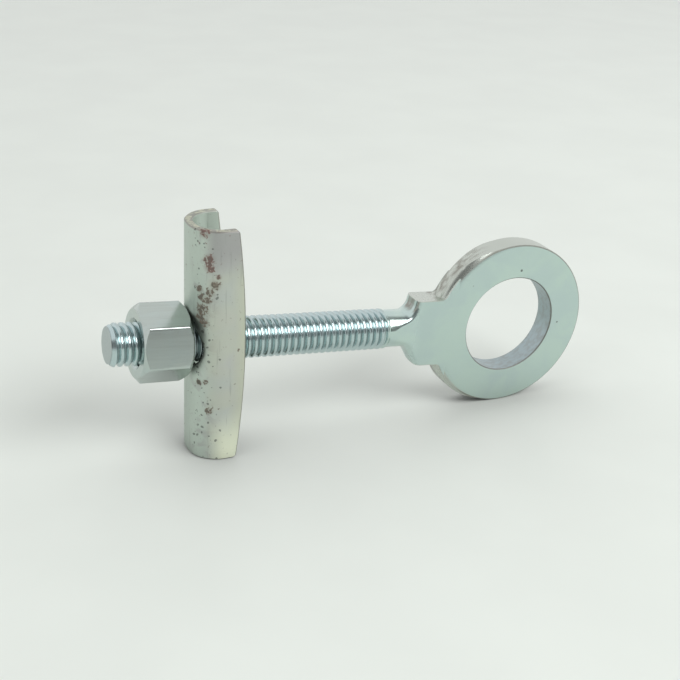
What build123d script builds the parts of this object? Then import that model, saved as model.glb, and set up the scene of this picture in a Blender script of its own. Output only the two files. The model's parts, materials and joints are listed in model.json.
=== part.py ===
from build123d import *
import os
from math import asin, cos, degrees, isclose, radians, sin, sqrt, tan

# Chain adjuster of a motorcycle: an eye bolt, a folded end plate and the nut that draws the bolt in.
# Millimetres. The origin is the centre of the axle eye, +Y runs along the axle and +Z is up.
# The shank points to -X. The adjuster lies as it comes to rest, on its eye and the lower end of the plate.

# Eye of the bolt
eye_outer_d = 26.0
eye_bore_d = 15.3
eye_thickness = 3.8
eye_edge_round = 0.25
bore_edge_chamfer = 0.15

# Swell of the eye towards the neck, where the forging was not trimmed and its edge stays rolled
swell_inset = 0.25
swell_shift = 1.1
roll_margin = 1.55
roll_shift = 1.0
roll_radius = 1.8

# Shank and neck, measured from the eye's centre along the shank
thread_d = 6.0
thread_start = 21.5
thread_start_chamfer = 0.4
bolt_reach = 63.0
bolt_end_chamfer = 0.4
shank_drop = 0.25
neck_d = 5.6
flat_end = 14.0
flat_run_out_radius = 24.0

# Flare of the neck above and below the shank, whose edges the forging left round
flare_top_start = 17.3
flare_top_angle = 82.0
flare_bottom_start = 17.7
flare_bottom_angle = 56.0
flare_fillet = 1.6
flare_edge_round = 0.9

# Shoulder between neck and eye, heights above and below the shank's axis
shoulder_top = 4.8
shoulder_bottom = 5.7
shoulder_root_fillet = 0.9

# End plate, folded from sheet to a channel that the shank runs through
plate_height = 34.25
plate_depth = 5.75
plate_bow = 1.15
plate_sheet = 1.15
plate_spine_flat = 1.1
plate_corner_radius = 0.65
plate_rim_chamfer = 0.2
plate_side_clearance = 0.6
plate_hole_clearance = 0.5

# Adjusting nut
nut_across_flats = 9.8
nut_height = 7.0
nut_edge_round = 0.4
nut_face_share = 0.97
nut_chamfer_angle = 42.0
nut_countersink = 0.45
nut_turn_angle = 43.6
nut_thread_clearance = 0.08
nut_seat_clearance = 0.05
thread_showing = 3.8

# Passes that settle the resting tilt
tilt_passes = 8

# Worked out from the sizes above
thread_r = thread_d / 2
eye_r = eye_outer_d / 2
bore_r = eye_bore_d / 2
neck_r = neck_d / 2
neck_end = thread_start + thread_r
nut_bore_r = thread_r + nut_thread_clearance
nut_face_r = nut_face_share * nut_across_flats / 2
nut_seat = bolt_reach - thread_showing - nut_height
plate_inner_width = thread_d + 2 * plate_side_clearance
plate_width = plate_inner_width + 2 * plate_sheet
inner_bend_r = (plate_inner_width - plate_spine_flat) / 2
floor_z = -eye_r
plate_centre_z = floor_z + plate_height / 2


def spine_along_shank(tilt):
    """Distance along the shank from the eye's centre to the plate's back, which the nut's rim rests on."""
    return nut_seat - nut_face_r * tan(tilt) - nut_seat_clearance


def resting_tilt():
    """Angle of the shank, in radians, with the eye and the plate standing on one floor."""
    tilt = 0.0
    for _ in range(tilt_passes):
        tilt = asin((plate_centre_z + shank_drop * cos(tilt)) / spine_along_shank(tilt))
    return tilt


tilt = resting_tilt()
plate_spine_x = -spine_along_shank(tilt) * cos(tilt) - shank_drop * sin(tilt)
on_shank = Rot(0, degrees(tilt), 0) * Pos(0, 0, -shank_drop)


def rims(body, radius):
    """Round edges of one radius."""
    return body.edges().filter_by(GeomType.CIRCLE).filter_by(lambda edge: isclose(edge.radius, radius))


def flat_disc(radius, x, edge_radius):
    """Disc in the eye's plane, with rounded rims."""
    disc = extrude(Plane.XZ * Pos(x, shank_drop) * Circle(radius), eye_thickness / 2, both=True)
    return fillet(rims(disc, radius), edge_radius)


def eye():
    """Trimmed round eye with the rolled swell on the neck's side, bored for the axle."""
    trimmed = flat_disc(eye_r, 0, eye_edge_round)
    swell = flat_disc(eye_r - swell_inset, -swell_shift, eye_edge_round)
    rolled = flat_disc(eye_r + roll_margin, roll_shift, roll_radius)
    bore = Pos(0, 0, shank_drop) * Rot(90, 0, 0) * Cylinder(bore_r, eye_outer_d)
    ring = ((trimmed + swell) & rolled) - bore
    return chamfer(rims(ring, bore_r), bore_edge_chamfer)


def shoulder_outline():
    """Side view of eye and shoulder, run out to the end of the neck."""
    height = shoulder_top + shoulder_bottom
    bar = Pos(-neck_end / 2, (shoulder_top - shoulder_bottom) / 2) * Rectangle(neck_end, height)
    outline = Pos(0, shank_drop) * Circle(eye_r) + bar
    roots = outline.vertices().filter_by_position(Axis.X, -eye_r, -eye_r / 2)
    return fillet(roots, shoulder_root_fillet)


def flats_profile():
    """Top view of the pressed flats, which run out on the round neck."""
    half = eye_thickness / 2
    rise = neck_r - half
    run_out = flat_end + sqrt(2 * flat_run_out_radius * rise - rise ** 2)
    edge = Line((0, half), (-flat_end, half))
    ramp = TangentArc(edge @ 1, (-run_out, neck_r), tangent=(-1, 0))
    beyond = [(-run_out, neck_d), (-neck_end, neck_d), (-neck_end, 0), (0, 0)]
    upper = make_face(edge + ramp + Polyline(ramp @ 1, *beyond, edge @ 0))
    return upper + mirror(upper, Plane.XZ)


def flare(start, angle):
    """Upper half of the round neck, which opens as a cone towards the shoulder."""
    mouth_r = shoulder_top + shoulder_bottom
    mouth = start - (mouth_r - neck_r) / tan(radians(angle))
    root = (-start, neck_r)
    side = [(-neck_end, neck_r), root, (-mouth, mouth_r), (0, mouth_r)]
    section = make_face(Polyline((0, 0), (-neck_end, 0), *side, close=True))
    corner = section.vertices().sort_by_distance((*root, 0))[0]
    return revolve(fillet(corner, flare_fillet), Axis.X, 180)


def pressed_neck():
    """Neck with its two flares, pressed flat on both sides."""
    top = flare(flare_top_start, flare_top_angle)
    bottom = Rot(180, 0, 0) * flare(flare_bottom_start, flare_bottom_angle)
    neck = (top + bottom) & extrude(flats_profile(), eye_outer_d, both=True)
    ramps = neck.faces().filter_by(lambda face: face.geom_type == GeomType.CYLINDER
                                   and isclose(face.radius, flat_run_out_radius))
    flats = neck.faces().filter_by(Axis.Y)
    edges = (ramps + flats).edges().filter_by(GeomType.LINE, reverse=True)
    return fillet(edges, flare_edge_round)


def neck():
    """Shoulder and neck, trimmed above and below and let into the eye's wall."""
    trimmed = extrude(Plane.XZ * shoulder_outline(), neck_d, both=True)
    middle_of_wall = (bore_r + eye_r) / 2
    near_side = Box(neck_end, eye_outer_d, eye_outer_d, align=(Align.MAX, Align.CENTER, Align.CENTER))
    return trimmed & pressed_neck() & Pos(-middle_of_wall, 0, 0) * near_side


def shank():
    """Threaded shank from the neck to its chamfered end."""
    rod = Cylinder(thread_r, bolt_reach - thread_start, align=(Align.CENTER, Align.CENTER, Align.MIN))
    rod = chamfer(rod.edges().sort_by(Axis.Z)[-1], bolt_end_chamfer)
    rod = chamfer(rod.edges().sort_by(Axis.Z)[0], thread_start_chamfer)
    return Pos(-thread_start, 0, 0) * Rot(0, -90, 0) * rod


def eye_bolt():
    """Whole forged bolt, on its resting tilt."""
    return on_shank * (eye() + neck() + shank())


def channel_section():
    """Folded section of the plate, spine at x = 0 and wings towards +x."""
    length = plate_depth + plate_bow
    outer = Pos(length / 2, 0) * Rectangle(length, plate_width)
    outer = fillet(outer.vertices().group_by(Axis.X)[0], inner_bend_r + plate_sheet)
    inner = Pos(length / 2 + plate_sheet, 0) * Rectangle(length, plate_inner_width)
    inner = fillet(inner.vertices().group_by(Axis.X)[0], inner_bend_r)
    return outer - inner


def wing_outline():
    """Side view of the plate, whose free edge bows out in the middle."""
    half = plate_height / 2
    bowed = ThreePointArc((plate_depth, -half), (plate_depth + plate_bow, 0), (plate_depth, half))
    rest = Polyline(bowed @ 1, (0, half), (0, -half), bowed @ 0)
    outline = make_face(bowed + rest)
    return fillet(outline.vertices().group_by(Axis.X)[-1], plate_corner_radius)


def folded_blank():
    """Folded channel before punching, with the rims of its sheet broken on both sides."""
    folded = extrude(channel_section(), plate_height / 2, both=True)
    blank = folded & extrude(Plane.XZ * wing_outline(), plate_width, both=True)
    across_rims = blank.edges().filter_by(Axis.Y).filter_by(lambda edge: edge.center().X > plate_sheet)
    along_folds = blank.edges().filter_by(Axis.Z)
    return chamfer(blank.edges() - across_rims - along_folds, plate_rim_chamfer)


def end_plate():
    """Folded channel, upright, with the shank's clearance hole through its spine."""
    hole = Rot(0, 90, 0) * Cylinder(thread_r + plate_hole_clearance, 2 * plate_depth)
    return Pos(plate_spine_x, 0, plate_centre_z) * (folded_blank() - hole)


def nut_envelope():
    """Turned body that chamfers the corners of the hexagon at both ends."""
    reach = nut_across_flats
    drop = (reach - nut_face_r) * tan(radians(nut_chamfer_angle))
    side = [(nut_face_r, 0), (reach, drop), (reach, nut_height - drop), (nut_face_r, nut_height)]
    section = make_face(Polyline((0, 0), *side, (0, nut_height), close=True))
    return revolve(Plane.XZ * section, Axis.Z)


def adjusting_nut():
    """Hexagon nut on the shank, its seat close to the plate's spine."""
    hexagon = RegularPolygon(nut_across_flats / 2, 6, major_radius=False, rotation=nut_turn_angle)
    hexagon = fillet(hexagon.vertices(), nut_edge_round)
    body = extrude(hexagon, nut_height) & nut_envelope()
    body -= Cylinder(nut_bore_r, nut_height, align=(Align.CENTER, Align.CENTER, Align.MIN))
    seat = Plane(origin=(-nut_seat, 0, 0), x_dir=(0, -1, 0), z_dir=(-1, 0, 0))
    return on_shank * seat.location * chamfer(rims(body, nut_bore_r), nut_countersink)


os.makedirs("parts", exist_ok=True)
export_step(eye_bolt(), "parts/eye_bolt.step")
export_step(end_plate(), "parts/end_plate.step")
export_step(adjusting_nut(), "parts/adjusting_nut.step")
print(f"tilt {degrees(tilt):.4f} deg, plate's back at x {plate_spine_x:.3f} mm, nut's seat {nut_seat:.3f} mm")
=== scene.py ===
import json
from math import cos, pi, radians, sin

import bpy
from bpy.props import FloatProperty, FloatVectorProperty, IntProperty, PointerProperty
from mathutils import Matrix, Vector


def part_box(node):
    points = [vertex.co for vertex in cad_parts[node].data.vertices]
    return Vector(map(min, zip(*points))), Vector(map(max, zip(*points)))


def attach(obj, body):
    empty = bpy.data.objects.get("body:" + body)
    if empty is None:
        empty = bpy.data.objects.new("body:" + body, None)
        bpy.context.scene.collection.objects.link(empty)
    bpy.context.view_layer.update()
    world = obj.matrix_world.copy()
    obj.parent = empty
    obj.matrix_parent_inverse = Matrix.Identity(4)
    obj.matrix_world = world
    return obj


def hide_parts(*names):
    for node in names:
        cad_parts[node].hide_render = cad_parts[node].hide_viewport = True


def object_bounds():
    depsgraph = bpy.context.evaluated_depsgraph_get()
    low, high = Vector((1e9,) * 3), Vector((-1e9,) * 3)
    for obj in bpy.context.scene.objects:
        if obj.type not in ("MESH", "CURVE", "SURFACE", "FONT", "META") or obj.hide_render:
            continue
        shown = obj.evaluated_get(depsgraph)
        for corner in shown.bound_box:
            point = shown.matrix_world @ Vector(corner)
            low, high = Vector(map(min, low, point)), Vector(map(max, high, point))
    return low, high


bl_info = {
    "name": "Chain adjuster",
    "version": (1, 0, 0),
    "blender": (4, 5, 0),
    "location": "View3D > Sidebar > Chain adjuster",
    "description": "Dresses a motorcycle chain adjuster in worn zinc plating and stands it on a pale floor",
    "category": "Object",
}

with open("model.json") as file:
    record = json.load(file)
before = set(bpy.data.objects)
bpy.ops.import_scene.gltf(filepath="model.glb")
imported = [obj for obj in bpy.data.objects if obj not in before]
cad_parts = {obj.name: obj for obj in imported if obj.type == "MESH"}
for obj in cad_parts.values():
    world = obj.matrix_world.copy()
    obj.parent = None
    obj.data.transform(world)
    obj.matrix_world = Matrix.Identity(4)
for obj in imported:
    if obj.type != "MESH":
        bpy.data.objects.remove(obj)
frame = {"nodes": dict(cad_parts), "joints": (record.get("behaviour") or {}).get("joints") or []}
cad_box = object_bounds()

# A millimetre in metres, and the gap up to which points are merged
MM = 0.001
MERGE = 0.001 * MM

# The shank, from the joints that move along it
JOINTS = {joint["name"]: joint for joint in frame["joints"]}
SHANK = Vector(JOINTS["bolt_draw"]["axis"]).normalized()
ACROSS = Vector((0, 1, 0))
SHANK_UP = ACROSS.cross(SHANK)
NUT_SEAT = Vector(JOINTS["nut_turn"]["pos_m"])
SEAT_ALONG = NUT_SEAT.dot(SHANK)
SHANK_ORIGIN = NUT_SEAT - SHANK * SEAT_ALONG

# Sizes of the pieces, from their CAD nodes
BOLT_POINTS = [vertex.co.copy() for vertex in frame["nodes"]["eye_bolt"].data.vertices]
BOLT_REACH = max(point.dot(SHANK) for point in BOLT_POINTS)
EYE_POINTS = [point for point in BOLT_POINTS if point.x > 0]
EYE_R = max(point.xz.length for point in EYE_POINTS)
BORE_R = min(point.xz.length for point in EYE_POINTS)
EYE_HALF = max(point.y for point in EYE_POINTS)
PLATE_LOW, PLATE_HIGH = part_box("end_plate")
FLOOR_HEIGHT = cad_box[0].z


def mm(*lengths, start=0):
    """Lengths in millimetres as metres, counted from a start."""
    return tuple(start + length * MM for length in lengths)


def on_shank(distance):
    """Point on the shank's axis, at a distance from the eye's centre along it."""
    return SHANK_ORIGIN + SHANK * distance


class ThreadSettings(bpy.types.PropertyGroup):
    """Rolled thread of the bolt."""
    diameter: FloatProperty(name="Diameter", description="Over the crests", default=6.0 * MM, unit="LENGTH")
    pitch: FloatProperty(name="Pitch", description="From crest to crest", default=1.0 * MM, unit="LENGTH")
    depth: FloatProperty(name="Depth", description="From crest to root", default=0.5 * MM, unit="LENGTH")
    crest: FloatProperty(
        name="Crest", description="Width of a crest before rounding", default=0.34 * MM, unit="LENGTH")
    root: FloatProperty(name="Root", description="Width of a root", default=0.08 * MM, unit="LENGTH")
    rounding: FloatProperty(
        name="Rounding", description="Bevel of the crests", default=0.08 * MM, unit="LENGTH")
    start: FloatProperty(
        name="Start", description="First groove, from the eye's centre", default=21.3 * MM, unit="LENGTH")
    run_out: FloatProperty(
        name="Run-out", description="Length over which the first grooves deepen", default=1.0 * MM,
        unit="LENGTH")
    neck_diameter: FloatProperty(
        name="Neck", description="Diameter of the plain neck", default=5.6 * MM, unit="LENGTH")
    end_diameter: FloatProperty(
        name="End diameter", description="Across the bolt's end", default=5.1 * MM, unit="LENGTH")
    end_slope: FloatProperty(
        name="End slope", description="Rise of the chamfers along the bolt", default=0.6)
    steps: IntProperty(name="Steps", description="Steps in one turn", default=56, min=12)


class FinishSettings(bpy.types.PropertyGroup):
    """Colours and roughness of the worn plating."""
    bolt: FloatVectorProperty(
        name="Bolt", description="Zinc on the bolt's flats", subtype="COLOR", default=(0.58, 0.71, 0.66))
    bolt_blue: FloatVectorProperty(
        name="Bolt, bluish", description="Zinc where it tends to blue", subtype="COLOR",
        default=(0.52, 0.63, 0.64))
    rim: FloatVectorProperty(
        name="Trimmed rim", description="Rim of the eye", subtype="COLOR", default=(0.57, 0.61, 0.56))
    bore: FloatVectorProperty(
        name="Bore", description="Bore of the eye", subtype="COLOR", default=(0.4, 0.48, 0.5))
    # Also laid on the flared neck, where it is partly a painted dark reflection
    forge_scale_and_dark_reflection: FloatVectorProperty(
        name="Forge scale", description="Dark scale of forged and cut edges", subtype="COLOR",
        default=(0.27, 0.26, 0.23))
    nut: FloatVectorProperty(
        name="Nut", description="Zinc on the nut", subtype="COLOR", default=(0.5, 0.56, 0.53))
    spine: FloatVectorProperty(
        name="Plate's back", description="Plating on the plate's back", subtype="COLOR",
        default=(0.55, 0.62, 0.56))
    wing: FloatVectorProperty(
        name="Plate's wing", description="Plating on the wings", subtype="COLOR", default=(0.56, 0.58, 0.57))
    passivate: FloatVectorProperty(
        name="Passivate", description="Yellowish bloom on the plate", subtype="COLOR",
        default=(0.66, 0.68, 0.52))
    # Yellow bloom made pale as a painted reflection of the floor, at the plate's foot
    pale_foot_reflection: FloatVectorProperty(
        name="Pale foot", description="Pale yellow at the plate's foot", subtype="COLOR",
        default=(0.97, 1.0, 0.82))
    grey_top: FloatVectorProperty(
        name="Grey top", description="Greyer plating at the wing's top", subtype="COLOR",
        default=(0.4, 0.39, 0.39))
    rust: FloatVectorProperty(
        name="Rust", description="Reddish rust on the plate", subtype="COLOR", default=(0.21, 0.1, 0.08))
    ochre: FloatVectorProperty(
        name="Ochre", description="Yellower rust lower down", subtype="COLOR", default=(0.17, 0.125, 0.085))
    # Also the colour of the painted shade in the thread's roots, in the gap by the nut, on the nut's face
    # against the plate and around the plate's opening
    pits_and_painted_shade: FloatVectorProperty(
        name="Pits", description="Pits and grime in the plating", subtype="COLOR", default=(0.1, 0.11, 0.1))
    flat_roughness: FloatProperty(
        name="Flats' roughness", description="How dull the bolt's flats are", subtype="FACTOR", min=0, max=1,
        default=0.4)
    thread_roughness: FloatProperty(
        name="Thread's roughness", description="How dull thread and neck are", subtype="FACTOR", min=0, max=1,
        default=0.2)
    nut_roughness: FloatProperty(
        name="Nut's roughness", description="How dull the nut is", subtype="FACTOR", min=0, max=1,
        default=0.17)
    plate_roughness: FloatProperty(
        name="Plate's roughness", description="How dull the plate is", subtype="FACTOR", min=0, max=1,
        default=0.44)


class StageSettings(bpy.types.PropertyGroup):
    """Floor, lights and camera."""
    floor: FloatVectorProperty(
        name="Floor", description="Colour of the pale floor", subtype="COLOR", default=(0.805, 0.85, 0.8))
    ceiling: FloatProperty(name="Ceiling", description="Brightness of the room above", default=0.9)
    horizon: FloatProperty(name="Horizon", description="Brightness of the room at eye level", default=0.95)
    surround: FloatProperty(
        name="Surround", description="Brightness of the room's dark parts", default=0.2)
    softbox: FloatProperty(name="Softbox", description="Power of the softbox", default=3.1, unit="POWER")
    softbox_width: FloatProperty(
        name="Softbox's width", description="Longer side of the softbox", default=0.62, unit="LENGTH")
    softbox_height: FloatProperty(
        name="Softbox's height", description="Shorter side of the softbox", default=0.35, unit="LENGTH")
    softbox_distance: FloatProperty(
        name="Softbox's distance", description="From softbox to target", default=0.75, unit="LENGTH")
    azimuth: FloatProperty(
        name="Azimuth", description="Camera's turn about the vertical", subtype="ANGLE",
        default=radians(-26.38))
    elevation: FloatProperty(
        name="Elevation", description="Camera's height above the horizon", subtype="ANGLE",
        default=radians(25.19))
    roll: FloatProperty(name="Roll", description="Camera's lean", subtype="ANGLE", default=radians(3.42))
    distance: FloatProperty(
        name="Distance", description="From camera to target", default=177.8 * MM, unit="LENGTH")
    target: FloatVectorProperty(
        name="Target", description="Middle of the picture", subtype="TRANSLATION",
        default=(-28.1 * MM, 0, 0.67 * MM))
    lens: FloatProperty(
        name="Lens", description="Focal length on a 36 mm frame", default=64.23, unit="CAMERA")


class ChainAdjusterSettings(bpy.types.PropertyGroup):
    """Everything that a user would change."""
    thread: PointerProperty(type=ThreadSettings)
    finish: PointerProperty(type=FinishSettings)
    stage: PointerProperty(type=StageSettings)


def settings():
    """Settings of the adjuster in the open scene."""
    return bpy.context.scene.chain_adjuster


# Modelling

# Turns of the thread that are cut off again at both ends, and segments of its rounded crests
SPARE_TURNS = 3
CREST_SEGMENTS = 3

# Edges up to these angles are shaded smooth
SMOOTH_ANGLE = radians(35)
NUT_SMOOTH_ANGLE = radians(20)

# Weight at which the largest faces alone set the shading beside rounded edges
LARGE_FACES_ONLY = 100


def select_only(*pieces):
    bpy.ops.object.select_all(action="DESELECT")
    for piece in pieces:
        piece.select_set(True)
    bpy.context.view_layer.objects.active = pieces[0]


def edit(piece):
    """Opens a piece in edit mode with its whole mesh selected."""
    select_only(piece)
    bpy.ops.object.mode_set(mode="EDIT")
    bpy.ops.mesh.select_all(action="SELECT")


def close_edit():
    bpy.ops.object.mode_set(mode="OBJECT")


def link_new(name, data):
    thing = bpy.data.objects.new(name, data)
    bpy.context.scene.collection.objects.link(thing)
    return thing


def copy_of_node(node, name):
    """Copy of a CAD node's mesh as a piece of its own, with its loose triangles merged."""
    piece = link_new(name, frame["nodes"][node].data.copy())
    piece.data.materials.clear()
    edit(piece)
    bpy.ops.mesh.customdata_custom_splitnormals_clear()
    bpy.ops.mesh.remove_doubles(threshold=MERGE)
    close_edit()
    return piece


def apply_modifier(piece, kind, **values):
    modifier = piece.modifiers.new(kind.title(), kind)
    for name, value in values.items():
        setattr(modifier, name, value)
    select_only(piece)
    bpy.ops.object.modifier_apply(modifier=modifier.name)


def combine(piece, other, operation):
    """Boolean of two closed pieces; the other one is used up."""
    apply_modifier(piece, "BOOLEAN", object=other, operation=operation, solver="EXACT")
    bpy.data.objects.remove(other)
    if not piece.data.polygons:
        raise RuntimeError(f"nothing is left of {piece.name}")


def polish(piece, angle):
    """Smooth shading up to an angle, with flats kept flat beside their rounded edges."""
    select_only(piece)
    bpy.ops.object.shade_smooth_by_angle(angle=angle)
    apply_modifier(piece, "WEIGHTED_NORMAL", keep_sharp=True, weight=LARGE_FACES_ONLY)


def put_on_shank(piece, distance):
    """Turns a piece made along +X from the origin onto the shank, starting at a distance from the eye."""
    turn = Matrix((SHANK, ACROSS, SHANK.cross(ACROSS))).transposed().to_4x4()
    piece.matrix_world = Matrix.Translation(on_shank(distance)) @ turn
    select_only(piece)
    bpy.ops.object.transform_apply()


def dress(piece, node, body, material):
    """Gives a finished piece its material and puts it in its CAD node's place."""
    piece.data.materials.append(material)
    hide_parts(node)
    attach(piece, body)


def thread_profile(thread):
    """One pitch of the thread's outline above the axis, from root to root, drawn by extruding a point."""
    flank = (thread.pitch - thread.crest - thread.root) / 2
    half_root = (thread.root / 2, 0, 0)
    rise = (flank, 0, thread.depth)
    crest = (thread.crest, 0, 0)
    fall = (flank, 0, -thread.depth)
    bpy.ops.object.select_all(action="DESELECT")
    bpy.ops.mesh.primitive_plane_add(size=thread.pitch)
    piece = bpy.context.object
    edit(piece)
    bpy.ops.transform.translate(value=(0, 0, thread.diameter / 2 - thread.depth))
    bpy.ops.mesh.merge(type="CENTER")
    for step in (half_root, rise, crest, fall, half_root):
        bpy.ops.mesh.extrude_vertices_move(TRANSFORM_OT_translate={"value": step})
    close_edit()
    crest_height = max(vertex.co.z for vertex in piece.data.vertices)
    for vertex in piece.data.vertices:
        vertex.select = vertex.co.z > crest_height - MERGE
    bpy.ops.object.mode_set(mode="EDIT")
    bpy.ops.mesh.bevel(offset=thread.rounding, segments=CREST_SEGMENTS, affect="VERTICES")
    close_edit()
    return piece


def chamfer_cone(thread, length, end_diameter, turn):
    """Cone that leaves only the chamfer of one end when the thread is cut to it."""
    end_r = end_diameter / 2
    bpy.ops.object.select_all(action="DESELECT")
    bpy.ops.mesh.primitive_cone_add(vertices=2 * thread.steps, radius1=end_r + thread.end_slope * length,
                                    radius2=end_r, depth=length, location=(length / 2, 0, 0),
                                    rotation=(0, turn, 0))
    bpy.ops.object.transform_apply()
    return bpy.context.object


def threaded_rod(thread):
    """Helical thread from its first groove to the bolt's chamfered end, lying along +X."""
    length = BOLT_REACH - thread.start
    rod = thread_profile(thread)
    apply_modifier(rod, "SCREW", axis="X", angle=2 * pi, screw_offset=thread.pitch,
                   iterations=int(length / thread.pitch) + SPARE_TURNS, steps=thread.steps,
                   render_steps=thread.steps, use_merge_vertices=True, merge_threshold=MERGE)
    edit(rod)
    bpy.ops.mesh.remove_doubles(threshold=MERGE)
    bpy.ops.transform.translate(value=(-SPARE_TURNS / 2 * thread.pitch, 0, 0))
    for place, outward in ((0, -1), (length, 1)):
        bpy.ops.mesh.select_all(action="SELECT")
        bpy.ops.mesh.bisect(plane_co=(place, 0, 0), plane_no=(outward, 0, 0), clear_outer=True, use_fill=True,
                            threshold=MERGE)
    bpy.ops.mesh.select_all(action="SELECT")
    bpy.ops.mesh.normals_make_consistent(inside=False)
    close_edit()
    combine(rod, chamfer_cone(thread, length, thread.end_diameter, pi / 2), "INTERSECT")
    combine(rod, chamfer_cone(thread, length, thread.neck_diameter, -pi / 2), "INTERSECT")
    return rod


def neck_with_run_out(thread):
    """Eye and neck of the bolt, closed by a cone on which the first grooves run out."""
    bolt = copy_of_node("eye_bolt", "threaded_eye_bolt")
    start = on_shank(thread.start)
    root_share = (thread.diameter - 2 * thread.depth) / thread.neck_diameter
    edit(bolt)
    bpy.ops.mesh.bisect(plane_co=start, plane_no=SHANK, clear_outer=True, use_fill=True, threshold=MERGE)
    bpy.ops.mesh.extrude_region_move(TRANSFORM_OT_translate={"value": SHANK * thread.run_out})
    bpy.ops.transform.resize(value=(root_share, root_share, root_share),
                             center_override=start + SHANK * thread.run_out)
    bpy.ops.mesh.select_all(action="SELECT")
    bpy.ops.mesh.normals_make_consistent(inside=False)
    close_edit()
    return bolt


class CHAIN_ADJUSTER_OT_bolt(bpy.types.Operator):
    """Rolls the thread on the eye bolt's shank and plates the bolt"""
    bl_idname = "chain_adjuster.bolt"
    bl_label = "Eye bolt"

    def execute(self, context):
        thread = settings().thread
        bolt = neck_with_run_out(thread)
        rod = threaded_rod(thread)
        put_on_shank(rod, thread.start)
        combine(bolt, rod, "UNION")
        polish(bolt, SMOOTH_ANGLE)
        dress(bolt, "eye_bolt", "bolt", bolt_material())
        return {"FINISHED"}


class CHAIN_ADJUSTER_OT_plate(bpy.types.Operator):
    """Finishes the folded end plate with its worn plating and rust"""
    bl_idname = "chain_adjuster.plate"
    bl_label = "End plate"

    def execute(self, context):
        plate = copy_of_node("end_plate", "folded_end_plate")
        polish(plate, SMOOTH_ANGLE)
        dress(plate, "end_plate", "plate", plate_material())
        return {"FINISHED"}


class CHAIN_ADJUSTER_OT_nut(bpy.types.Operator):
    """Finishes the adjusting nut with its smooth plating"""
    bl_idname = "chain_adjuster.nut"
    bl_label = "Adjusting nut"

    def execute(self, context):
        nut = copy_of_node("adjusting_nut", "hexagon_nut")
        polish(nut, NUT_SMOOTH_ANGLE)
        dress(nut, "adjusting_nut", "nut", nut_material())
        return {"FINISHED"}


# Shader trees

# Inputs of a Mix node for its factor and its two colours, and its output for the mixed colour
MIX_INPUTS = (0, 6, 7)
MIX_OUTPUT = 2


class Tree:
    """Shader tree that is filled by short calls."""

    def __init__(self, tree):
        self.tree = tree

    def feed(self, socket, value):
        """Links a socket to another one, or sets its value."""
        if isinstance(value, bpy.types.NodeSocket):
            self.tree.links.new(value, socket)
        else:
            socket.default_value = value

    def add(self, kind, inputs=None, **options):
        """New node with its options set and its inputs fed."""
        node = self.tree.nodes.new("ShaderNode" + kind)
        for name, value in options.items():
            setattr(node, name, value)
        for name, value in (inputs or {}).items():
            self.feed(node.inputs[name], value)
        return node

    def group(self, build, **inputs):
        """Outputs of a shared node group, which is built when a material first asks for it."""
        name = build.__name__
        if name not in bpy.data.node_groups:
            build(name)
        return self.add("Group", inputs, node_tree=bpy.data.node_groups[name]).outputs

    def math(self, operation, *values):
        node = self.add("Math", operation=operation)
        for socket, value in zip(node.inputs, values):
            self.feed(socket, value)
        return node.outputs[0]

    def vector(self, operation, *values):
        node = self.add("VectorMath", operation=operation)
        for socket, value in zip(node.inputs, values):
            self.feed(socket, value)
        return node.outputs["Value" if operation in ("DOT_PRODUCT", "LENGTH") else "Vector"]

    def scaled(self, vector, factor):
        node = self.add("VectorMath", {"Vector": vector, "Scale": factor}, operation="SCALE")
        return node.outputs["Vector"]

    def position(self):
        return self.add("TexCoord").outputs["Object"]

    def axes(self, vector):
        return self.add("SeparateXYZ", {"Vector": vector}).outputs

    def fade(self, value, low, high):
        """0 at low, 1 at high, smooth between; low may be the larger one."""
        if low > high:
            return self.outside(self.fade(value, high, low))
        inputs = {"Value": value, "From Min": low, "From Max": high}
        return self.add("MapRange", inputs, interpolation_type="SMOOTHSTEP").outputs["Result"]

    def between(self, factor, low, high):
        """Value that goes from low to high with a factor from 0 to 1."""
        inputs = {"Value": factor, "To Min": low, "To Max": high}
        return self.add("MapRange", inputs).outputs["Result"]

    def outside(self, mask):
        """1 where a mask is 0, and the other way round."""
        return self.math("SUBTRACT", 1.0, mask)

    def band(self, value, rise, fall):
        """1 on a stretch, fading in between the first two places and out between the other two."""
        return self.all_of(self.fade(value, *rise), self.fade(value, *fall))

    def all_of(self, first, *others):
        """Product of masks and fixed shares."""
        for other in others:
            first = self.math("MULTIPLY", first, other)
        return first

    def any_of(self, first, *others):
        """Strongest of some masks."""
        for other in others:
            first = self.math("MAXIMUM", first, other)
        return first

    def mix(self, factor, first, second):
        node = self.add("Mix", data_type="RGBA")
        for index, value in zip(MIX_INPUTS, (factor, first, second)):
            self.feed(node.inputs[index], value)
        return node.outputs[MIX_OUTPUT]

    def coat(self, under, colour, *masks):
        """Colour laid over another one where all the masks let it."""
        return self.mix(self.all_of(*masks), under, rgba(colour))

    def noise(self, vector, size, detail=2.0, distortion=0.0):
        inputs = {"Vector": vector, "Scale": 1 / size, "Detail": detail, "Distortion": distortion}
        return self.add("TexNoise", inputs).outputs["Fac"]

    def pattern(self, vector, low, high, **noise):
        """Noise as a mask, 0 below the low level and 1 above the high one."""
        return self.fade(self.noise(vector, **noise), low, high)

    def bump(self, height, depth, strength):
        inputs = {"Height": height, "Distance": depth, "Strength": strength}
        return self.add("Bump", inputs).outputs["Normal"]


def rgba(colour):
    return (*colour, 1)


def new_group(name, inputs, outputs):
    """Empty node group with named sockets: its tree, its input sockets and its output sockets."""
    group = bpy.data.node_groups.new(name, "ShaderNodeTree")
    for socket, kind in inputs.items():
        group.interface.new_socket(socket, in_out="INPUT", socket_type="NodeSocket" + kind)
    for socket, kind in outputs.items():
        group.interface.new_socket(socket, in_out="OUTPUT", socket_type="NodeSocket" + kind)
    source = group.nodes.new("NodeGroupInput").outputs
    target = group.nodes.new("NodeGroupOutput").inputs
    return Tree(group), source, target


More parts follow.
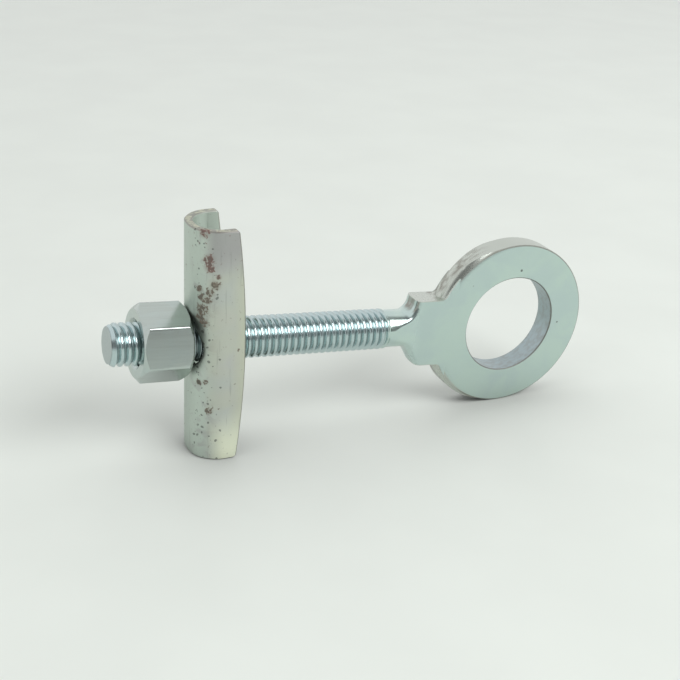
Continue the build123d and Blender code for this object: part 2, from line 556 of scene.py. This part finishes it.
def new_material(name, metallic):
    """Material with a plain Principled shader: the material, its tree and the shader's inputs."""
    material = bpy.data.materials.new(name)
    material.use_nodes = True
    shader = material.node_tree.nodes["Principled BSDF"].inputs
    shader["Metallic"].default_value = metallic
    return material, Tree(material.node_tree), shader


def along_shank(tree, place):
    """Distance along the shank from the eye's centre."""
    return tree.vector("DOT_PRODUCT", place, SHANK)


def above_shank(tree, place):
    """Height above the shank's axis, square to it."""
    return tree.vector("DOT_PRODUCT", tree.vector("SUBTRACT", place, SHANK_ORIGIN), SHANK_UP)


def from_eye(tree, place):
    """Distance from the eye's axis, which runs along Y."""
    return tree.vector("LENGTH", tree.vector("MULTIPLY", place, (1, 0, 1)))


def from_shank(tree, place):
    """Distance from the shank's axis."""
    foot = tree.vector("ADD", tree.scaled(SHANK, along_shank(tree, place)), SHANK_ORIGIN)
    return tree.vector("LENGTH", tree.vector("SUBTRACT", place, foot))


# Clouds, grain and ragged pits of the plating, which the materials share
CLOUDS = {"size": 6 * MM, "detail": 4, "distortion": 0.6, "low": 0.36, "high": 0.64}
GRAIN_SIZE = 0.18 * MM
PIT_WARP_SIZE = 1 * MM
PIT_WARP = 0.6 * MM
PIT_EDGE = mm(0.03, -0.03)


def plating_clouds(name):
    """Group with the soft clouds and the fine grain of a dull plating."""
    tree, source, target = new_group(name, {"Vector": "Vector"}, {"Clouds": "Float", "Grain": "Float"})
    tree.feed(target["Clouds"], tree.pattern(source["Vector"], **CLOUDS))
    tree.feed(target["Grain"], tree.noise(source["Vector"], GRAIN_SIZE))


def sparse_pits(name):
    """Group with dark pits scattered one to a cell, of uneven size and shape."""
    inputs = {"Vector": "Vector", "Cell": "Float", "Size": "Float", "Share": "Float"}
    tree, source, target = new_group(name, inputs, {"Mask": "Float"})
    warp = tree.add("TexNoise", {"Vector": source["Vector"], "Scale": 1 / PIT_WARP_SIZE}).outputs["Color"]
    warped = tree.vector("ADD", source["Vector"], tree.scaled(warp, PIT_WARP))
    cells = tree.add("TexVoronoi", {"Vector": warped, "Scale": tree.math("DIVIDE", 1.0, source["Cell"])})
    chance = tree.add("SeparateColor", {"Color": cells.outputs["Color"]}).outputs
    reach = tree.math("MULTIPLY", source["Size"], chance["Green"])
    gap = tree.math("SUBTRACT", tree.math("MULTIPLY", cells.outputs["Distance"], source["Cell"]), reach)
    chosen = tree.math("LESS_THAN", chance["Red"], source["Share"])
    tree.feed(target["Mask"], tree.all_of(tree.fade(gap, *PIT_EDGE), chosen))


# Bolt

class BoltZone:
    """Zones of the bolt's finish, each from the place where it sets in to the place where it is full."""
    # Along the shank from the eye's centre
    EYE = mm(14.2, 13.2)
    SHOULDER = mm(12.5, 13.5)
    SCALE = mm(4, 10)
    WORN_EDGE = mm(9, 6)
    ROLLED = mm(3, 7)
    # Flared neck below the shoulder, which gets forge scale that is also a painted dark reflection
    FLARE_SCALE_AND_REFLECTION = mm(14.6, 15.4)
    NECK = mm(15.5, 17.5)
    # Band of painted shade on the thread where it lies in the gap between the nut and the plate
    NUT_GAP_SHADE_START = mm(-2.6, -1.2, start=SEAT_ALONG)
    NUT_GAP_SHADE_END = mm(1.2, 0.2, start=SEAT_ALONG)
    BEFORE_END_FACE = mm(-0.1, -0.2, start=BOLT_REACH)
    END_FACE = mm(-0.12, -0.04, start=BOLT_REACH)
    # From the eye's axis
    RIM = mm(-0.6, -0.2, start=EYE_R)
    OUTER_EDGE = mm(-0.25, -0.15, start=EYE_R)
    ROLLED_RIM = mm(-1.6, -0.8, start=EYE_R)
    BORE = mm(0.2, 0.05, start=BORE_R)
    BORE_EDGE = mm(0.17, 0.11, start=BORE_R)
    # From the middle plane to either side
    OFF_FACE = mm(-0.02, -0.15, start=EYE_HALF)
    BY_FACE = mm(-0.25, -0.1, start=EYE_HALF)
    # Rounded edge beside the flat, left light on the flared neck as wear and as a painted highlight
    RIDGE_HIGHLIGHT_START = mm(0.8, 1.05)
    RIDGE_HIGHLIGHT_END = mm(1.55, 1.3)
    # From the middle plane towards +Y
    BEHIND_NEAR_EDGE = mm(-1.3, -0.4)
    # Above the shank's axis
    SHOULDER_TOP = mm(4.65, 4.78)
    SHOULDER_BOTTOM = mm(-5.55, -5.68)
    ABOVE_NECK = mm(2.8, 3.4)
    # Above the thread's roots, in millimetres, where the roots get painted shade
    GROOVE_SHADE = (0.18, 0.02)


class BoltShare:
    """How strongly each mark shows in the bolt's colour and gloss."""
    CLOUDS = 0.5
    SCALE = 0.85
    BORE_SCALE = 0.35
    # Forge scale on the flared neck, also a painted dark reflection, and the share of it left on the rounded
    # edge, which stays light as wear and as a painted highlight
    FLARE_SCALE_AND_REFLECTION = (0.6, 0.95)
    RIDGE_HIGHLIGHT = 0.1
    WORN_EDGE = 0.75
    END_FACE = 0.85
    END_SCALE = 0.3
    PITS = 0.75
    # Painted shade in the thread's roots
    GROOVE_SHADE = 0.3
    # Painted shade on the thread in the gap by the nut
    NUT_GAP_SHADE = 0.4
    ROLLED_GLOSS = 0.6
    GRAIN_ROUGHNESS = (-0.06, 0.06)
    DULL_GROOVE = 0.6
    DULL = 0.3


# Patterns of the bolt; a radian around the eye counts as a short length, which draws the streaks out
BOLT_PITS = {"Cell": 4 * MM, "Size": 0.36 * MM, "Share": 0.6}
BOLT_BUMP = {"depth": 0.01 * MM, "strength": 0.3}
STREAKS = {"size": 0.7 * MM, "detail": 4, "distortion": 0.3, "low": 0.38, "high": 0.66}
STREAKS_PER_RADIAN = 5 * MM


def bolt_zones(tree, place):
    """Masks of the bolt's zones by name."""
    thread = settings().thread
    root_r = thread.diameter / 2 - thread.depth
    axes = tree.axes(place)
    along = along_shank(tree, place)
    above = above_shank(tree, place)
    radius = from_eye(tree, place)
    off_middle = tree.math("ABSOLUTE", axes["Y"])

    in_eye = tree.fade(along, *BoltZone.EYE)
    off_face = tree.fade(off_middle, *BoltZone.OFF_FACE)
    rim = tree.all_of(tree.fade(radius, *BoltZone.RIM), in_eye, off_face)
    behind_near_edge = tree.fade(axes["Y"], *BoltZone.BEHIND_NEAR_EDGE)
    cut_top = tree.fade(above, *BoltZone.SHOULDER_TOP)
    cut_bottom = tree.fade(above, *BoltZone.SHOULDER_BOTTOM)
    shoulder = tree.all_of(tree.any_of(cut_top, cut_bottom), tree.fade(along, *BoltZone.SHOULDER))
    outer_edge = tree.all_of(tree.fade(radius, *BoltZone.OUTER_EDGE), in_eye)
    edges = tree.any_of(outer_edge, tree.fade(radius, *BoltZone.BORE_EDGE))
    by_face = tree.fade(off_middle, *BoltZone.BY_FACE)
    # Flared neck, where forge scale is laid that is also a painted dark reflection, left light on the rounded
    # edge as wear and as a painted highlight
    flare = tree.all_of(tree.fade(above, *BoltZone.ABOVE_NECK), tree.fade(along, *BoltZone.FLARE_SCALE_AND_REFLECTION))
    flare = tree.all_of(flare, tree.outside(shoulder), off_face)
    ridge_highlight = tree.band(off_middle, BoltZone.RIDGE_HIGHLIGHT_START, BoltZone.RIDGE_HIGHLIGHT_END)
    rolled = tree.all_of(tree.fade(radius, *BoltZone.ROLLED_RIM), tree.fade(along, *BoltZone.ROLLED))
    thread_zone = tree.fade(along, thread.start, thread.start + thread.pitch)
    # Thread's roots, which get painted shade and a duller finish
    groove = tree.fade(from_shank(tree, place), *mm(*BoltZone.GROOVE_SHADE, start=root_r))
    return {
        "trimmed": tree.any_of(rim, shoulder),
        "bore": tree.fade(radius, *BoltZone.BORE),
        "scale": tree.all_of(rim, tree.fade(along, *BoltZone.SCALE), behind_near_edge),
        "flare": tree.all_of(flare, tree.between(ridge_highlight, 1.0, BoltShare.RIDGE_HIGHLIGHT)),
        "worn edge": tree.all_of(edges, by_face, tree.fade(along, *BoltZone.WORN_EDGE)),
        "rolled": tree.all_of(rolled, off_face),
        "neck": tree.fade(along, *BoltZone.NECK),
        "thread": thread_zone,
        "groove": tree.all_of(groove, thread_zone, tree.fade(along, *BoltZone.BEFORE_END_FACE)),
        # Painted shade on the thread in the gap between the nut and the plate
        "painted_shade": tree.band(along, BoltZone.NUT_GAP_SHADE_START, BoltZone.NUT_GAP_SHADE_END),
        "end face": tree.fade(along, *BoltZone.END_FACE),
    }


def forging_streaks(tree, place):
    """Streaks of the forging, drawn out around the eye."""
    axes = tree.axes(place)
    around = tree.math("MULTIPLY", tree.math("ARCTAN2", axes["Z"], axes["X"]), STREAKS_PER_RADIAN)
    rolled_out = tree.add("CombineXYZ", {"X": around, "Y": axes["Y"], "Z": from_eye(tree, place)})
    return tree.pattern(rolled_out.outputs["Vector"], **STREAKS)


def bolt_material():
    """Dull zinc on the flats, brighter on thread and neck, with a trimmed rim and a darker bore; painted
    shade in the thread's roots and in the gap by the nut, and forge scale on the flared neck that is also a
    painted dark reflection, with a painted highlight left on its rounded edge.
    """
    finish = settings().finish
    material, tree, shader = new_material("zinc plated bolt", metallic=1)
    place = tree.position()
    clouds = tree.group(plating_clouds, Vector=place)
    zone = bolt_zones(tree, place)
    streaks = forging_streaks(tree, place)

    bluish = tree.any_of(tree.all_of(clouds["Clouds"], BoltShare.CLOUDS), zone["thread"])
    colour = tree.coat(rgba(finish.bolt), finish.bolt_blue, bluish)
    colour = tree.coat(colour, finish.rim, zone["trimmed"])
    colour = tree.coat(colour, finish.bore, zone["bore"])
    bore_scale = tree.all_of(zone["bore"], BoltShare.BORE_SCALE)
    scale = tree.any_of(tree.all_of(zone["scale"], BoltShare.SCALE), bore_scale)
    colour = tree.coat(colour, finish.forge_scale_and_dark_reflection, scale, streaks)
    # Forge scale on the flared neck, also a painted dark reflection, with a painted highlight left on its
    # rounded edge
    colour = tree.coat(colour, finish.forge_scale_and_dark_reflection, zone["flare"], tree.between(streaks, *BoltShare.FLARE_SCALE_AND_REFLECTION))
    colour = tree.coat(colour, finish.forge_scale_and_dark_reflection, zone["worn edge"], BoltShare.WORN_EDGE)
    colour = tree.coat(colour, finish.bore, zone["end face"], BoltShare.END_FACE)
    colour = tree.coat(colour, finish.forge_scale_and_dark_reflection, zone["end face"], BoltShare.END_SCALE)
    pits = tree.group(sparse_pits, Vector=place, **BOLT_PITS)["Mask"]
    pits = tree.all_of(pits, tree.between(zone["thread"], BoltShare.PITS, 0.0))
    # Painted shade in the thread's roots
    groove = tree.all_of(zone["groove"], BoltShare.GROOVE_SHADE)
    # Painted shade in the gap by the nut, laid on with the pits and the painted shade of the roots
    dark = tree.any_of(pits, groove, tree.all_of(zone["painted_shade"], BoltShare.NUT_GAP_SHADE))
    tree.feed(shader["Base Color"], tree.coat(colour, finish.pits_and_painted_shade, dark))

    bright = tree.any_of(zone["thread"], zone["neck"], tree.all_of(zone["rolled"], BoltShare.ROLLED_GLOSS))
    dull = tree.any_of(dark, zone["worn edge"], tree.all_of(zone["groove"], BoltShare.DULL_GROOVE))
    rough = tree.between(bright, finish.flat_roughness, finish.thread_roughness)
    rough = tree.math("ADD", rough, tree.between(clouds["Grain"], *BoltShare.GRAIN_ROUGHNESS))
    tree.feed(shader["Roughness"], tree.math("ADD", rough, tree.all_of(dull, BoltShare.DULL)))
    tree.feed(shader["Normal"], tree.bump(clouds["Grain"], **BOLT_BUMP))
    return material


# Plate

class PlateZone:
    """Zones of the plate's finish, each from the place where it sets in to the place where it is full."""
    # Depth from the plate's back
    BACK = mm(3.4, 0.6)
    FOLD = mm(3.8, 1.8)
    # Foot of the near wing, made pale as a painted reflection of the floor
    FOOT_REFLECTION = mm(1, 4)
    FREE_EDGE = mm(3.6, 6.8)
    # Across, towards +Y
    FAR_SIDE = mm(1, 3)
    NEAR_FOLD = mm(-0.5, -2.5)
    NEAR_WING = mm(1.35, 0.35, start=PLATE_LOW.y)
    # Height
    LOW = mm(9, 1, start=PLATE_LOW.z)
    TOP = mm(-8.25, -2.25, start=PLATE_HIGH.z)
    OCHRE = mm(16, 14)
    # From the nearest rim of the sheet
    SHEET_EDGE = mm(0.26, 0.1)
    SHEET_RIM = mm(0.05, 0.02)
    # From the shank's axis, inside which the plate gets painted shade by the nut
    HOLE_SHADE = mm(3.8, 3.5)


class PlateShare:
    """How strongly each mark shows in the plate's colour and gloss."""
    CLOUDS = 0.3
    TOP = 0.7
    MOTTLE = 0.45
    BANDS = 0.35
    FREE_EDGE = 0.6
    SCRATCHES = 0.2
    SHEET_EDGE = 0.75
    SHEET_RIM = 0.7
    PITS = 0.65
    # Painted shade around the shank's opening by the nut
    HOLE_SHADE = 0.9
    STAIN = 0.3
    RUST = 0.9
    RUST_CORE = 0.6
    RUST_METALLIC = 0.05
    RUST_DULL = 0.35
    GRAIN_ROUGHNESS = (-0.08, 0.08)
    GRAIN_HEIGHT = 0.25


# Bow of the plate's free edge
PLATE_BOW = 1.15 * MM

# Patterns of the plate; a squeeze below 1 draws a pattern out along that axis
PLATE_PITS = {"Cell": 0.6 * MM, "Size": 0.22 * MM}
PLATE_PIT_SHARE = (0.02, 0.7)
PLATE_BUMP = {"depth": 0.03 * MM, "strength": 0.4}
BANDS = {"size": 8 * MM, "distortion": 0.8, "low": 0.45, "high": 0.62}
BANDS_SQUEEZE = (0.4, 0.4, 1)
MOTTLE = {"size": 1.8 * MM, "detail": 4, "distortion": 0.8, "low": 0.5, "high": 0.68}
SCRATCHES = {"size": 0.35 * MM, "low": 0.6, "high": 0.75}
SCRATCHES_SQUEEZE = (1, 1, 0.06)
FLAKES = {"size": 0.5 * MM, "detail": 4, "distortion": 0.6}

# Levels of the flakes at which a mark sets in and is full; a rusty place raises the flakes in it
RUST_RAISE = 0.3
RUST = (0.65, 0.79)
RUST_CORE = (0.75, 0.87)
BARE_RIM = (0.35, 0.65)

# Reach of a rusty place, in times its size, at which it sets in and is full
RUST_REACH = (1.3, 0.2)

# Rusty places on the plate's near fold: depth from its back, place across, height and size, in millimetres
RUST_SPOTS = ((1.2, -3.5, 21.0, 1.0), (1.7, -3.9, 17.3, 1.0), (1.8, -3.9, 16.2, 0.9), (2.9, -4.6, 14.9, 0.5),
              (2.5, -4.4, 13.7, 0.9), (1.9, -4.0, 12.6, 0.8), (1.5, -3.7, 11.6, 1.0), (0.8, -3.0, 12.9, 0.7),
              (1.0, -3.2, 11.8, 0.7), (1.1, -3.4, 10.0, 1.3), (0.8, -3.1, 8.9, 1.0), (1.2, -3.5, 8.2, 1.0),
              (0.8, -2.9, -1.0, 0.6), (1.4, -3.7, -0.8, 0.5), (1.9, -4.0, -5.2, 0.7))


def rusty_places(tree, place):
    """1 in the middle of a rusty place, falling to 0 around it."""
    spots = []
    for depth, across, height, size in RUST_SPOTS:
        middle = Vector((PLATE_LOW.x + depth * MM, across * MM, height * MM))
        gap = tree.vector("LENGTH", tree.vector("SUBTRACT", place, middle))
        spots.append(tree.fade(gap, *(reach * size * MM for reach in RUST_REACH)))
    return tree.any_of(*spots)


def rim_gap(tree, axes):
    """Distance from the nearest rim of the plate: its top, its foot or the bowed free edge."""
    half = (PLATE_HIGH.z - PLATE_LOW.z) / 2
    from_middle = tree.math("DIVIDE", tree.math("SUBTRACT", axes["Z"], PLATE_LOW.z + half), half)
    drop = tree.all_of(from_middle, from_middle, PLATE_BOW)
    free = tree.math("SUBTRACT", tree.math("SUBTRACT", PLATE_HIGH.x, drop), axes["X"])
    top = tree.math("SUBTRACT", PLATE_HIGH.z, axes["Z"])
    foot = tree.math("SUBTRACT", axes["Z"], PLATE_LOW.z)
    return tree.math("MINIMUM", free, tree.math("MINIMUM", top, foot))


def plate_zones(tree, place):
    """Masks of the plate's zones by name."""
    axes = tree.axes(place)
    depth = tree.math("SUBTRACT", axes["X"], PLATE_LOW.x)
    gap = rim_gap(tree, axes)
    near_wing = tree.fade(axes["Y"], *PlateZone.NEAR_WING)
    low = tree.fade(axes["Z"], *PlateZone.LOW)
    top = tree.all_of(tree.fade(axes["Z"], *PlateZone.TOP), near_wing)
    bands = tree.pattern(tree.vector("MULTIPLY", place, BANDS_SQUEEZE), **BANDS)
    free_edge = tree.all_of(tree.fade(depth, *PlateZone.FREE_EDGE), PlateShare.FREE_EDGE)
    bloom = tree.any_of(tree.all_of(bands, PlateShare.BANDS), free_edge)
    return {
        "back": tree.any_of(tree.fade(depth, *PlateZone.BACK), tree.fade(axes["Y"], *PlateZone.FAR_SIDE)),
        "top": top,
        # Yellow bloom with a painted reflection of the floor, low on the near wing
        "foot": tree.all_of(low, tree.fade(depth, *PlateZone.FOOT_REFLECTION), near_wing),
        "bloom": tree.all_of(bloom, near_wing, tree.outside(top)),
        "fold": tree.all_of(tree.fade(axes["Y"], *PlateZone.NEAR_FOLD), tree.fade(depth, *PlateZone.FOLD)),
        "sheet edge": tree.fade(gap, *PlateZone.SHEET_EDGE),
        "sheet rim": tree.fade(gap, *PlateZone.SHEET_RIM),
        # Painted shade around the shank's opening
        "hole": tree.fade(from_shank(tree, place), *PlateZone.HOLE_SHADE),
        "ochre": tree.fade(axes["Z"], *PlateZone.OCHRE),
    }


def plate_material():
    """Dull zinc with a yellowish bloom, rust along the near fold, pits, scratches and dark sheet edges,
    painted shade around the shank's opening and a foot made pale as a painted reflection of the floor.
    """
    finish = settings().finish
    material, tree, shader = new_material("worn zinc plate", metallic=1)
    place = tree.position()
    clouds = tree.group(plating_clouds, Vector=place)
    zone = plate_zones(tree, place)
    mottle = tree.pattern(place, **MOTTLE)
    scratches = tree.pattern(tree.vector("MULTIPLY", place, SCRATCHES_SQUEEZE), **SCRATCHES)
    pit_share = tree.between(zone["fold"], *PLATE_PIT_SHARE)
    pits = tree.group(sparse_pits, Vector=place, Share=pit_share, **PLATE_PITS)["Mask"]

    colour = tree.coat(rgba(finish.wing), finish.spine, zone["back"])
    colour = tree.coat(colour, finish.spine, clouds["Clouds"], PlateShare.CLOUDS)
    colour = tree.coat(colour, finish.grey_top, zone["top"], PlateShare.TOP)
    colour = tree.coat(colour, finish.grey_top, mottle, zone["fold"], PlateShare.MOTTLE)
    colour = tree.coat(colour, finish.passivate, zone["bloom"])
    # Yellow bloom made pale as a painted reflection of the floor
    colour = tree.coat(colour, finish.pale_foot_reflection, zone["foot"])
    colour = tree.coat(colour, finish.pits_and_painted_shade, scratches, PlateShare.SCRATCHES)
    colour = tree.coat(colour, finish.forge_scale_and_dark_reflection, zone["sheet edge"], PlateShare.SHEET_EDGE)
    flakes = tree.noise(place, **FLAKES)
    bare = tree.fade(flakes, *BARE_RIM)
    colour = tree.coat(colour, finish.passivate, zone["sheet rim"], bare, PlateShare.SHEET_RIM)
    colour = tree.coat(colour, finish.pits_and_painted_shade, pits, PlateShare.PITS)
    # Painted shade on the wall of the shank's opening and the sheet around it
    colour = tree.coat(colour, finish.pits_and_painted_shade, zone["hole"], PlateShare.HOLE_SHADE)

    rusty = rusty_places(tree, place)
    raised = tree.math("ADD", flakes, tree.all_of(rusty, RUST_RAISE))
    rust = tree.fade(raised, *RUST)
    brown = tree.coat(rgba(finish.rust), finish.ochre, zone["ochre"])
    stain = tree.all_of(tree.fade(rusty, 0.0, 1.0), PlateShare.STAIN)
    colour = tree.mix(stain, colour, brown)
    brown = tree.coat(brown, finish.pits_and_painted_shade, tree.fade(raised, *RUST_CORE), PlateShare.RUST_CORE)
    tree.feed(shader["Base Color"], tree.mix(tree.all_of(rust, PlateShare.RUST), colour, brown))
    tree.feed(shader["Metallic"], tree.between(rust, 1.0, PlateShare.RUST_METALLIC))

    uneven = tree.between(clouds["Grain"], *PlateShare.GRAIN_ROUGHNESS)
    rough = tree.math("ADD", uneven, finish.plate_roughness)
    tree.feed(shader["Roughness"], tree.math("ADD", rough, tree.all_of(rust, PlateShare.RUST_DULL)))
    height = tree.math("ADD", tree.all_of(clouds["Grain"], PlateShare.GRAIN_HEIGHT), rust)
    tree.feed(shader["Normal"], tree.bump(height, **PLATE_BUMP))
    return material


# Nut

# Patterns of the nut; the squeeze takes out most of the way along it, which draws the lines out
NUT_PITS = {"Cell": 3 * MM, "Size": 0.18 * MM, "Share": 0.3}
NUT_BUMP = {"depth": 0.006 * MM, "strength": 0.12}
DRAWN_LINES = {"size": 0.5 * MM, "detail": 3}
DRAWN_LEVELS = (0.4, 0.7)
DRAWN_SQUEEZE = 0.95

# Places along the shank at which the painted shade on the nut's face against the plate sets in and is full
NUT_SEAT_SHADE_ZONE = mm(0.3, 0.1, start=SEAT_ALONG)


class NutShare:
    """How strongly each mark shows in the nut's colour and gloss."""
    CLOUDS = 0.3
    LINES = 0.1
    PITS = 0.6
    # Painted shade on the nut's face against the plate
    SEAT_SHADE = 0.9
    CLOUDS_ROUGHNESS = (-0.03, 0.05)


def nut_material():
    """Smooth zinc with faint lines drawn along the nut and painted shade on its face against the plate."""
    finish = settings().finish
    material, tree, shader = new_material("smooth zinc nut", metallic=1)
    place = tree.position()
    clouds = tree.group(plating_clouds, Vector=place)
    along = along_shank(tree, place)
    squeezed = tree.vector("SUBTRACT", place, tree.scaled(SHANK, tree.all_of(along, DRAWN_SQUEEZE)))
    lines = tree.noise(squeezed, **DRAWN_LINES)
    pits = tree.group(sparse_pits, Vector=place, **NUT_PITS)["Mask"]
    # Nut's face against the plate, which gets painted shade
    seat_shade = tree.fade(along, *NUT_SEAT_SHADE_ZONE)

    colour = tree.coat(rgba(finish.nut), finish.bolt_blue, clouds["Clouds"], NutShare.CLOUDS)
    colour = tree.coat(colour, finish.forge_scale_and_dark_reflection, tree.fade(lines, *DRAWN_LEVELS), NutShare.LINES)
    # Painted shade on the nut's face against the plate, laid on with the pits
    dark = tree.any_of(tree.all_of(pits, NutShare.PITS), tree.all_of(seat_shade, NutShare.SEAT_SHADE))
    tree.feed(shader["Base Color"], tree.coat(colour, finish.pits_and_painted_shade, dark))
    uneven = tree.between(clouds["Clouds"], *NutShare.CLOUDS_ROUGHNESS)
    tree.feed(shader["Roughness"], tree.math("ADD", uneven, finish.nut_roughness))
    tree.feed(shader["Normal"], tree.bump(lines, **NUT_BUMP))
    return material


# Stage

# Floor's side in metres, and its finish
FLOOR_SIZE = 40
FLOOR_SPECULAR = 0.1
FLOOR_PALER = 1.03
FLOOR_ROUGHNESS = (0.3, 0.4)
FLOOR_MOTTLE = {"size": 25 * MM, "detail": 3}
FLOOR_MOTTLE_LEVELS = (0.3, 0.7)

# Nearest place that the camera sees
CLIP_START = 10 * MM

# Directions of the room's lights and darks, seen from the adjuster
SOFTBOX_DIRECTION = Vector((0.4, -0.62, 0.67)).normalized()
LOW_FRONT = Vector((0.42, -0.9, 0.1)).normalized()

# Cosines of the angle from a direction at which the room's dark sets in and is full
AROUND_SOFTBOX = (0.66, 0.84)
AROUND_CAMERA = (0.8, 0.92)
AROUND_LOW_FRONT = (0.88, 0.96)

# Sines of the angle above the horizon at which the ceiling, and any dark, sets in and is full
CEILING_RISE = (0.0, 0.5)
ABOVE_HORIZON = (0.0, 0.035)


def floor_material(colour):
    """Pale, faintly mottled floor with a weak sheen."""
    material, tree, shader = new_material("pale floor", metallic=0)
    shader["Specular IOR Level"].default_value = FLOOR_SPECULAR
    mottle = tree.noise(tree.position(), **FLOOR_MOTTLE)
    paler = [min(1, FLOOR_PALER * channel) for channel in colour]
    tree.feed(shader["Base Color"], tree.coat(rgba(colour), paler, tree.fade(mottle, *FLOOR_MOTTLE_LEVELS)))
    tree.feed(shader["Roughness"], tree.between(mottle, *FLOOR_ROUGHNESS))
    return material


def camera_axes(stage):
    """The camera's right, up and backward directions."""
    turn, rise = stage.azimuth, stage.elevation
    back = Vector((sin(turn) * cos(rise), -cos(turn) * cos(rise), sin(rise)))
    level_right = Vector((cos(turn), sin(turn), 0))
    level_up = back.cross(level_right)
    right = level_right * cos(stage.roll) + level_up * sin(stage.roll)
    up = level_up * cos(stage.roll) - level_right * sin(stage.roll)
    return right, up, back


def place_camera(stage):
    right, up, back = camera_axes(stage)
    data = bpy.data.cameras.new("camera")
    data.lens = stage.lens
    data.clip_start = CLIP_START
    camera = link_new("camera", data)
    eye_point = Vector(stage.target) + back * stage.distance
    camera.matrix_world = Matrix.LocRotScale(eye_point, Matrix((right, up, back)).transposed(), None)
    bpy.context.scene.camera = camera


def light_room(stage):
    """Bright room that is dark around the softbox and the camera, as the metal mirrors it."""
    world = bpy.data.worlds.new("soft room")
    world.use_nodes = True
    tree = Tree(world.node_tree)
    direction = tree.add("TexCoord").outputs["Generated"]
    height = tree.axes(direction)["Z"]
    grey = tree.between(tree.fade(height, *CEILING_RISE), stage.horizon, stage.ceiling)
    darks = []
    for middle, limits in ((SOFTBOX_DIRECTION, AROUND_SOFTBOX), (camera_axes(stage)[2], AROUND_CAMERA),
                           (LOW_FRONT, AROUND_LOW_FRONT)):
        darks.append(tree.fade(tree.vector("DOT_PRODUCT", direction, middle), *limits))
    dark = tree.all_of(tree.any_of(*darks), tree.fade(height, *ABOVE_HORIZON))
    grey = tree.math("ADD", tree.all_of(grey, tree.outside(dark)), tree.all_of(dark, stage.surround))
    tree.feed(world.node_tree.nodes["Background"].inputs["Color"], grey)
    bpy.context.scene.world = world


def hang_softbox(stage):
    """Softbox at the front right, which gives the white lines on thread, neck and nut."""
    data = bpy.data.lights.new("softbox", "AREA")
    data.shape = "RECTANGLE"
    data.size = stage.softbox_width
    data.size_y = stage.softbox_height
    data.energy = stage.softbox
    softbox = link_new("softbox", data)
    softbox.location = Vector(stage.target) + SOFTBOX_DIRECTION * stage.softbox_distance
    softbox.rotation_euler = SOFTBOX_DIRECTION.to_track_quat("Z", "Y").to_euler()


class CHAIN_ADJUSTER_OT_stage(bpy.types.Operator):
    """Lays the floor and sets the room, the softbox and the camera"""
    bl_idname = "chain_adjuster.stage"
    bl_label = "Stage"

    def execute(self, context):
        stage = settings().stage
        bpy.ops.object.select_all(action="DESELECT")
        bpy.ops.mesh.primitive_plane_add(size=FLOOR_SIZE, location=(0, 0, FLOOR_HEIGHT))
        floor = context.object
        floor.name = "pale_floor"
        floor.data.materials.append(floor_material(stage.floor))
        place_camera(stage)
        light_room(stage)
        hang_softbox(stage)
        context.scene.view_settings.view_transform = "Standard"
        context.scene.cycles.caustics_reflective = False
        return {"FINISHED"}


OPERATORS = (CHAIN_ADJUSTER_OT_bolt, CHAIN_ADJUSTER_OT_plate, CHAIN_ADJUSTER_OT_nut, CHAIN_ADJUSTER_OT_stage)


class CHAIN_ADJUSTER_PT_panel(bpy.types.Panel):
    """Sizes, finish and stage of the chain adjuster"""
    bl_idname = "CHAIN_ADJUSTER_PT_panel"
    bl_label = "Chain adjuster"
    bl_space_type = "VIEW_3D"
    bl_region_type = "UI"
    bl_category = "Chain adjuster"

    def draw(self, context):
        for group in (settings().thread, settings().finish, settings().stage):
            box = self.layout.box()
            for name in group.__annotations__:
                box.prop(group, name)
        for operator in OPERATORS:
            self.layout.operator(operator.bl_idname)


GROUPS = (ThreadSettings, FinishSettings, StageSettings, ChainAdjusterSettings)
CLASSES = (*GROUPS, *OPERATORS, CHAIN_ADJUSTER_PT_panel)


def register():
    for cls in CLASSES:
        bpy.utils.register_class(cls)
    bpy.types.Scene.chain_adjuster = PointerProperty(type=ChainAdjusterSettings)


def unregister():
    del bpy.types.Scene.chain_adjuster
    for cls in reversed(CLASSES):
        bpy.utils.unregister_class(cls)


def main():
    register()
    bpy.ops.chain_adjuster.bolt()
    bpy.ops.chain_adjuster.plate()
    bpy.ops.chain_adjuster.nut()
    bpy.ops.chain_adjuster.stage()


if __name__ == "__main__":
    main()
